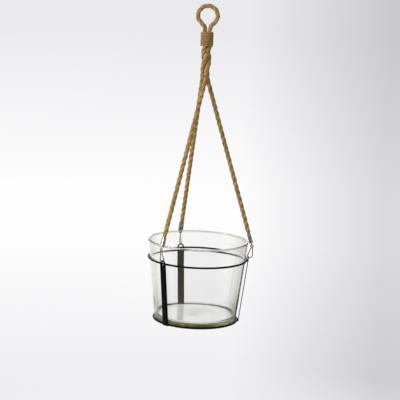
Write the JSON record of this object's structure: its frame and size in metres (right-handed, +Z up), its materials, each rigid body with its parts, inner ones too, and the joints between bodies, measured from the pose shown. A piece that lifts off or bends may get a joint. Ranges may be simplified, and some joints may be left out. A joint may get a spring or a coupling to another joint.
{
  "type": "hanging planter",
  "caption": "Tapered clear glass pot wedged in a black wire-and-strap basket, hung by wire snap hooks on jute ropes that join in one laid trunk with a hanging loop.",
  "frame": {"origin": "inside top of the hanging loop, where a ceiling hook bears, on the planter's vertical axis", "axes": "+Z up along the planter's axis, the loop lies in the XZ plane, +X towards the right-hand strap of the picture, -Y towards the viewer"},
  "size_m": [0.1872, 0.1808, 0.5591],
  "materials": {
    "pot_glass": "clear pressed glass with a faint olive tint",
    "black_steel": "satin black paint",
    "nickel": "warm nickel plate",
    "jute": "natural twisted jute"
  },
  "bodies": {
    "hanger": {"hang_loop": "jute", "loop_whipping": "jute", "trunk_rope_right": "jute", "trunk_rope_rear": "jute", "trunk_rope_front": "jute"},
    "basket": {"rope_leg_right": "jute", "rope_leg_rear": "jute", "rope_leg_front": "jute", "strap_right": "black_steel", "strap_rear": "black_steel", "strap_front": "black_steel", "upper_ring": "black_steel", "lower_ring": "black_steel"},
    "clip_right": {"ferrule_right": "nickel", "snap_hook_right": "nickel"},
    "clip_rear": {"ferrule_rear": "nickel", "snap_hook_rear": "nickel"},
    "clip_front": {"ferrule_front": "nickel", "snap_hook_front": "nickel"},
    "gate_right": {"snap_gate_right": "nickel"},
    "gate_rear": {"snap_gate_rear": "nickel"},
    "gate_front": {"snap_gate_front": "nickel"},
    "pot": {"glass_pot": "pot_glass"}
  },
  "joints": [
    {"name": "planter_turn", "type": "hinge", "parent": "hanger", "child": "basket", "pos_m": [0, 0, -0.1113], "axis": [0, 0, 1], "range_deg": [-180, 180], "stiffness_Nm_per_rad": 0.01},
    {"name": "pot_lift", "type": "slide", "parent": "basket", "child": "pot", "axis": [0, 0, 1], "range_m": [0, 0.116]},
    {"name": "clip_right_swing", "type": "hinge", "parent": "basket", "child": "clip_right", "pos_m": [0.09055, -0.00316, -0.43259], "axis": [0.0349, 0.9994, 0], "range_deg": [0, 52], "deforming": ["rope_leg_right"]},
    {"name": "clip_rear_swing", "type": "hinge", "parent": "basket", "child": "clip_rear", "pos_m": [-0.03247, 0.08458, -0.43259], "axis": [-0.9336, -0.3584, 0], "range_deg": [0, 52], "deforming": ["rope_leg_rear"]},
    {"name": "clip_front_swing", "type": "hinge", "parent": "basket", "child": "clip_front", "pos_m": [-0.06003, -0.06786, -0.43259], "axis": [0.749, -0.6626, 0], "range_deg": [0, 52], "deforming": ["rope_leg_front"]},
    {"name": "gate_right_open", "type": "hinge", "parent": "clip_right", "child": "gate_right", "pos_m": [0.09357, -0.00327, -0.41741], "axis": [-0.0349, -0.9994, 0], "range_deg": [0, 18], "stiffness_Nm_per_rad": 0.002, "springref_deg": -22.92},
    {"name": "gate_rear_open", "type": "hinge", "parent": "clip_rear", "child": "gate_rear", "pos_m": [-0.03356, 0.08741, -0.41741], "axis": [0.9336, 0.3584, 0], "range_deg": [0, 18], "stiffness_Nm_per_rad": 0.002, "springref_deg": -22.92},
    {"name": "gate_front_open", "type": "hinge", "parent": "clip_front", "child": "gate_front", "pos_m": [-0.06204, -0.07013, -0.41741], "axis": [-0.749, 0.6626, 0], "range_deg": [0, 18], "stiffness_Nm_per_rad": 0.002, "springref_deg": -22.92}
  ],
  "couplings": [
    {"joint": "clip_right_swing", "follows": "pot_lift", "rad_per_m": 7.679},
    {"joint": "clip_rear_swing", "follows": "pot_lift", "rad_per_m": 7.679},
    {"joint": "clip_front_swing", "follows": "pot_lift", "rad_per_m": 7.679}
  ]
}
